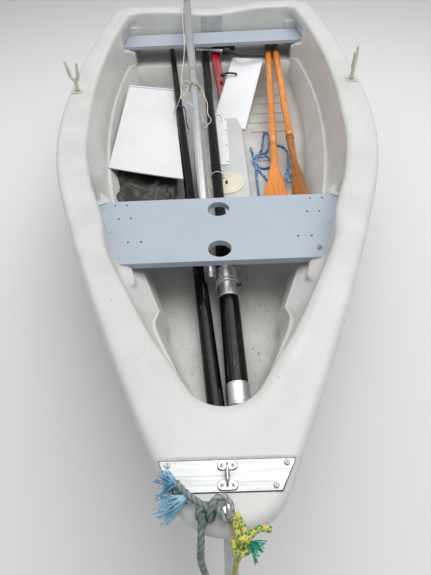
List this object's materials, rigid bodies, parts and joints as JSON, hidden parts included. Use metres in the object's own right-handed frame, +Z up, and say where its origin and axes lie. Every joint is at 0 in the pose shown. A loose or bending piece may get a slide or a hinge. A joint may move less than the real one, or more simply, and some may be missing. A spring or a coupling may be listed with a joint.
{
  "type": "small sailing dinghy on a launching trolley",
  "caption": "Open moulded-plastic sailing dinghy with its rig, foils and oars stowed inside, standing on a two-wheeled launching trolley",
  "frame": {"origin": "on the floor, midway along the whole boat and trolley, on the centreline", "axes": "+X towards the bow, +Y to port, +Z up"},
  "size_m": [3.542, 1.572, 0.8912],
  "materials": {
    "hull_plastic": "moulded, slightly weathered",
    "liner_plastic": "moulded",
    "cap_plastic": "moulded",
    "lid_plastic": "yellowed",
    "strip_aluminium": "mill",
    "thwart_plastic": "satin grey blue",
    "plate_aluminium": "worn",
    "stainless": "polished",
    "pad_plastic": "moulded",
    "black_plastic": "moulded",
    "mast_black": "gloss",
    "spar_aluminium": "anodised",
    "foil_white": "gel coat",
    "blade_red": "gloss",
    "black_rubber": "matt",
    "varnished_wood": "varnished",
    "board_white": "satin",
    "bag_fabric": "woven nylon",
    "socket_plastic": "moulded",
    "rowlock_white": "coated",
    "wheel_rim": "moulded",
    "tyre": "ribbed",
    "bunk_timber": "weathered",
    "bunk_felt": "felt",
    "galvanised": "galvanised",
    "rope_grey": "three strand",
    "rope_yellow": "braided"
  },
  "bodies": {
    "root": {"aft_thwart": "thwart_plastic", "axle_beam": "galvanised", "boom": "spar_aluminium", "boom_caps": "black_plastic", "bow_deck_loop": "stainless", "bow_eye": "stainless", "bow_plate": "plate_aluminium", "bunk_pads": "bunk_felt", "bunks": "bunk_timber", "case_cap": "cap_plastic", "centre_thwart": "thwart_plastic", "cross_beam": "galvanised", "daggerboard": "foil_white", "daggerboard_case": "liner_plastic", "drain_plug": "black_plastic", "drawbar": "galvanised", "gudgeons": "stainless", "hull": "hull_plastic", "keel_rest": "black_rubber", "keel_strip": "strip_aluminium", "locker_board": "board_white", "mast_collar": "spar_aluminium", "mast_foot_cap": "spar_aluminium", "mast_lower": "mast_black", "mast_upper": "mast_black", "oar_inner": "varnished_wood", "oar_outer": "varnished_wood", "painter_grey": "rope_grey", "painter_grey_knots": "rope_grey", "painter_yellow": "rope_yellow", "painter_yellow_knots": "rope_yellow", "rest_leg": "galvanised", "round_lid": "lid_plastic", "rowlock_sockets": "socket_plastic", "rudder_blade": "blade_red", "rudder_head": "black_plastic", "sail_bag": "bag_fabric", "tiller": "spar_aluminium", "tiller_extension": "mast_black", "tiller_joint": "black_rubber", "tow_handle": "galvanised", "transom_pad_inside": "plate_aluminium", "transom_pad_outside": "pad_plastic"},
    "wheel_port": {"tyre_port": "tyre", "wheel_rim_port": "wheel_rim"},
    "wheel_starboard": {"tyre_starboard": "tyre", "wheel_rim_starboard": "wheel_rim"},
    "rowlock_port": {"rowlock_port": "rowlock_white"},
    "rowlock_starboard": {"rowlock_starboard": "rowlock_white"}
  },
  "joints": [
    {"name": "wheel_port_spin", "type": "hinge", "parent": "root", "child": "wheel_port", "pos_m": [-0.539, 0.735, 0.2], "axis": [0, 1, 0], "continuous": true},
    {"name": "wheel_starboard_spin", "type": "hinge", "parent": "root", "child": "wheel_starboard", "pos_m": [-0.539, -0.735, 0.2], "axis": [0, 1, 0], "continuous": true},
    {"name": "rowlock_port_swivel", "type": "hinge", "parent": "root", "child": "rowlock_port", "pos_m": [-0.609, 0.684, 0.75], "axis": [0, 0, 1], "continuous": true},
    {"name": "rowlock_starboard_swivel", "type": "hinge", "parent": "root", "child": "rowlock_starboard", "pos_m": [-0.609, -0.684, 0.75], "axis": [0, 0, 1], "continuous": true}
  ]
}
